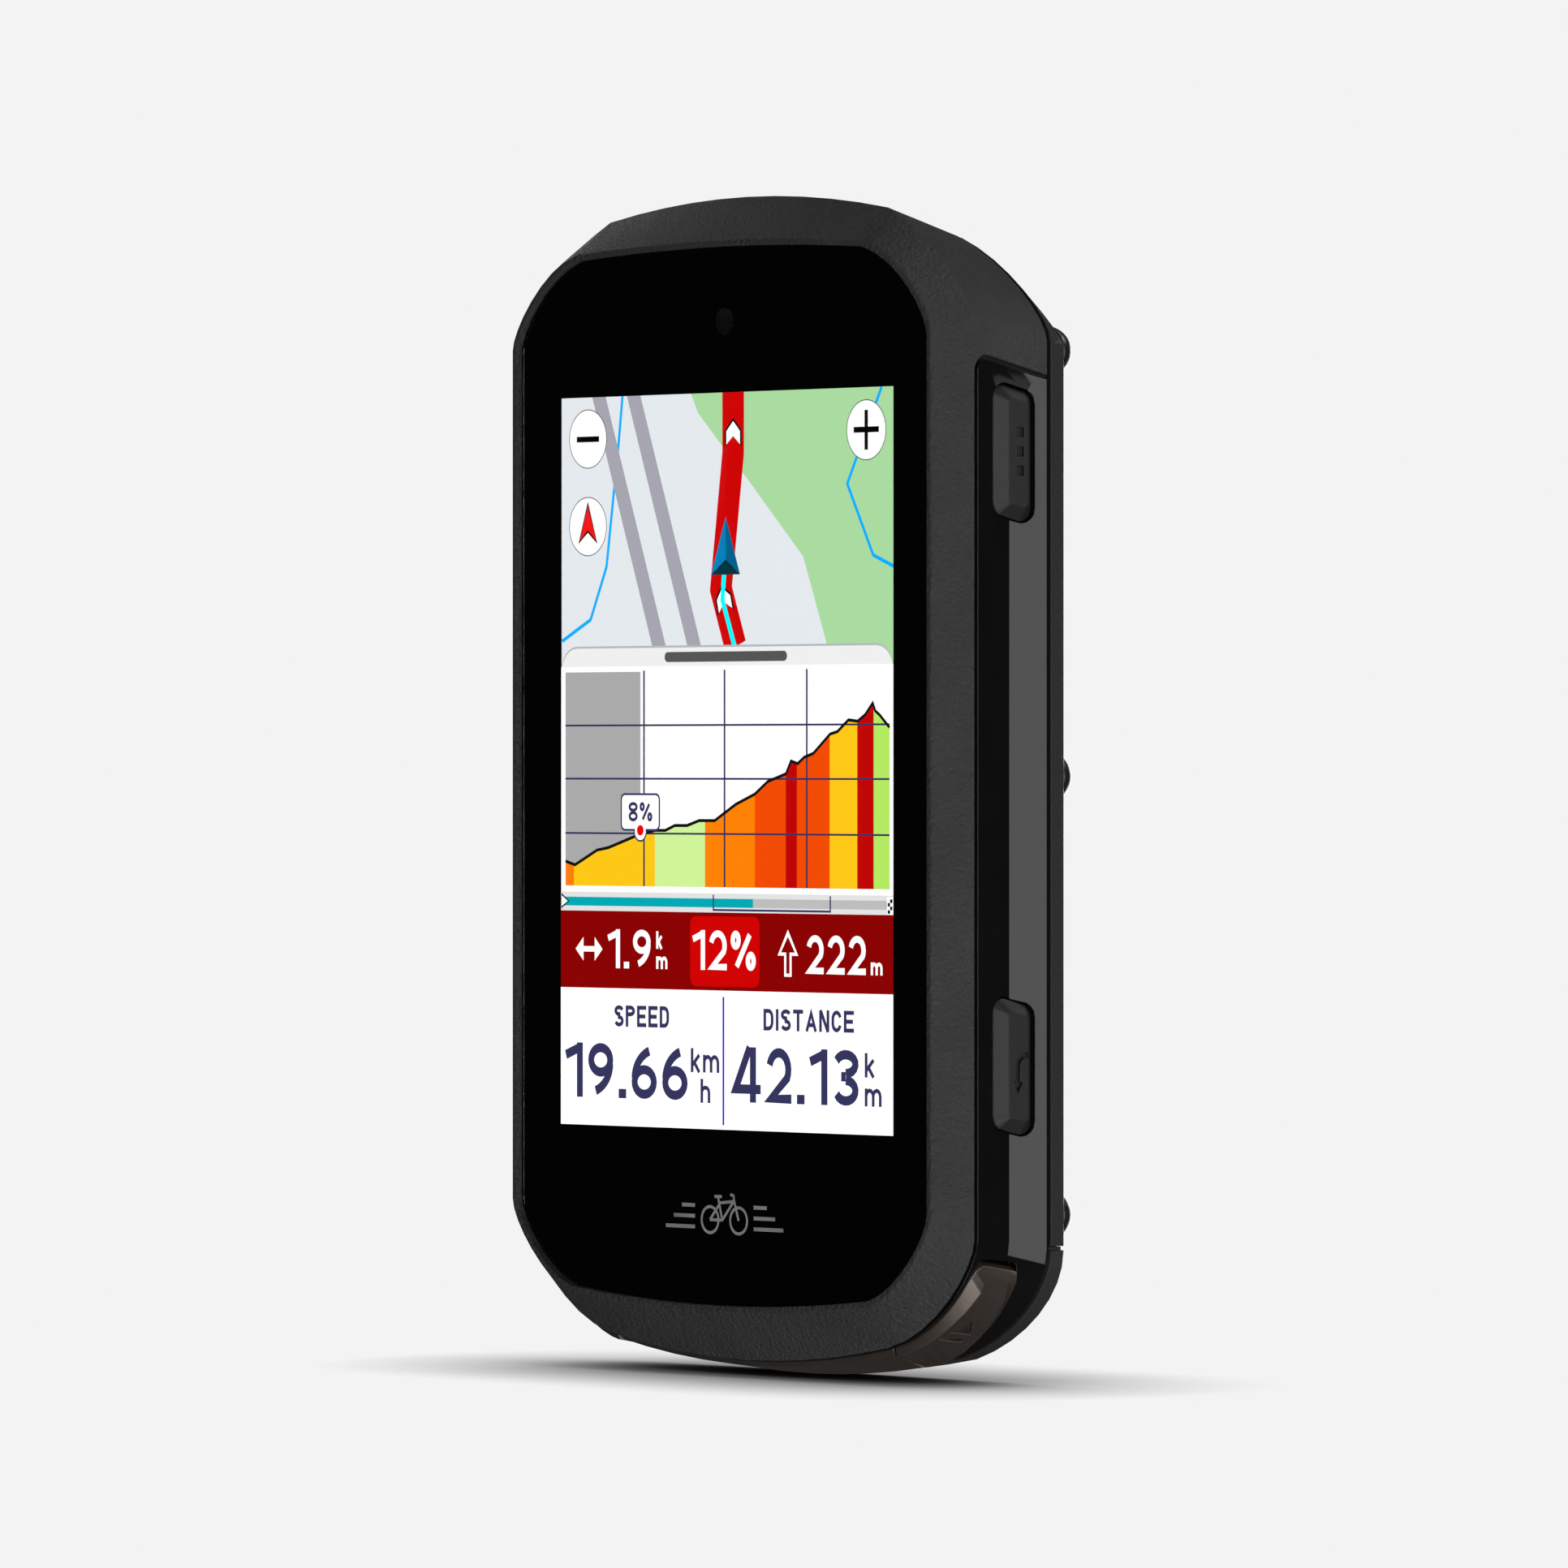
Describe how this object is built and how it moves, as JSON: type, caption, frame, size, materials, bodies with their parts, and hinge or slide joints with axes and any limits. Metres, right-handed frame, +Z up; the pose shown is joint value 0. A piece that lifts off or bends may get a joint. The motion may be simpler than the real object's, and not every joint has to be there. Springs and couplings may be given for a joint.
{
  "type": "cycling computer",
  "caption": "Flat handlebar cycling computer with a large lit screen, grained bezel, glossy side frame, side keys, bronze corner keys and a quarter-turn lug on its back.",
  "frame": {"origin": "middle of the width and of the depth at the height of the lowest point", "axes": "+Z up along the length of the case, +Y out of its back along the lug, the glass faces -Y"},
  "size_m": [0.055, 0.0166, 0.0931],
  "materials": {
    "grained_plastic": "leather-like grain",
    "cover_glass": "polished",
    "black_rubber": "matte",
    "display": "lit colour screen",
    "sheet_steel": "brushed",
    "sensor_window": "smoked",
    "gloss_frame": "polished",
    "bronze_metal": "fine metallic satin",
    "circuit_board": "solder mask",
    "chip_black": "moulded",
    "ceramic": "ceramic",
    "battery_wrap": "film wrap",
    "foam": "closed-cell foam",
    "white_membrane": "fibrous",
    "switch_plastic": "moulded",
    "copper_flex": "polyimide film",
    "cover_plastic": "fine spark grain",
    "dark_steel": "dark satin",
    "lug_plastic": "glass-filled nylon",
    "key_plastic": "fine grain",
    "flap_rubber": "fine matte grain"
  },
  "bodies": {
    "housing": {"front_bezel": "grained_plastic", "cover_glass": "cover_glass", "glass_gasket": "black_rubber", "display_panel": "display", "display_backlight": "sheet_steel", "light_sensor": "sensor_window", "side_frame": "gloss_frame", "bottom_trim": "bronze_metal", "front_gasket": "black_rubber", "rear_gasket": "black_rubber", "main_board": "circuit_board", "shield_cans": "sheet_steel", "board_chips": "chip_black", "gnss_antenna": "ceramic", "battery": "battery_wrap", "battery_foam": "foam", "usb_socket": "sheet_steel", "usb_tongue": "chip_black", "speaker": "chip_black", "vent_membrane": "white_membrane", "right_switches": "switch_plastic", "left_switches": "switch_plastic", "bottom_switches": "switch_plastic", "key_flex": "copper_flex", "display_ribbon": "copper_flex", "rear_cover": "cover_plastic", "case_screws": "dark_steel", "quarter_turn_mount": "lug_plastic", "mount_screws": "sheet_steel"},
    "menu_button": {"menu_button": "key_plastic"},
    "back_button": {"back_button": "key_plastic"},
    "power_button": {"power_button": "key_plastic"},
    "up_button": {"up_button": "key_plastic"},
    "down_button": {"down_button": "key_plastic"},
    "start_button": {"start_button": "bronze_metal"},
    "lap_button": {"lap_button": "bronze_metal"},
    "port_flap": {"port_flap": "flap_rubber"}
  },
  "joints": [
    {"name": "menu_press", "type": "slide", "parent": "housing", "child": "menu_button", "axis": [-1, 0, 0], "range_m": [0, 0.0004], "stiffness_N_per_m": 150},
    {"name": "back_press", "type": "slide", "parent": "housing", "child": "back_button", "axis": [-1, 0, 0], "range_m": [0, 0.0004], "stiffness_N_per_m": 150},
    {"name": "power_press", "type": "slide", "parent": "housing", "child": "power_button", "axis": [1, 0, 0], "range_m": [0, 0.0004], "stiffness_N_per_m": 150},
    {"name": "up_press", "type": "slide", "parent": "housing", "child": "up_button", "axis": [1, 0, 0], "range_m": [0, 0.0004], "stiffness_N_per_m": 150},
    {"name": "down_press", "type": "slide", "parent": "housing", "child": "down_button", "axis": [1, 0, 0], "range_m": [0, 0.0004], "stiffness_N_per_m": 150},
    {"name": "start_press", "type": "slide", "parent": "housing", "child": "start_button", "axis": [0, 0, 1], "range_m": [0, 0.0003], "stiffness_N_per_m": 150},
    {"name": "lap_press", "type": "slide", "parent": "housing", "child": "lap_button", "axis": [0, 0, 1], "range_m": [0, 0.0003], "stiffness_N_per_m": 150},
    {"name": "flap_hinge", "type": "hinge", "parent": "housing", "child": "port_flap", "pos_m": [0, 0.004, 0.01054], "axis": [1, 0, 0], "range_deg": [0, 90]}
  ]
}
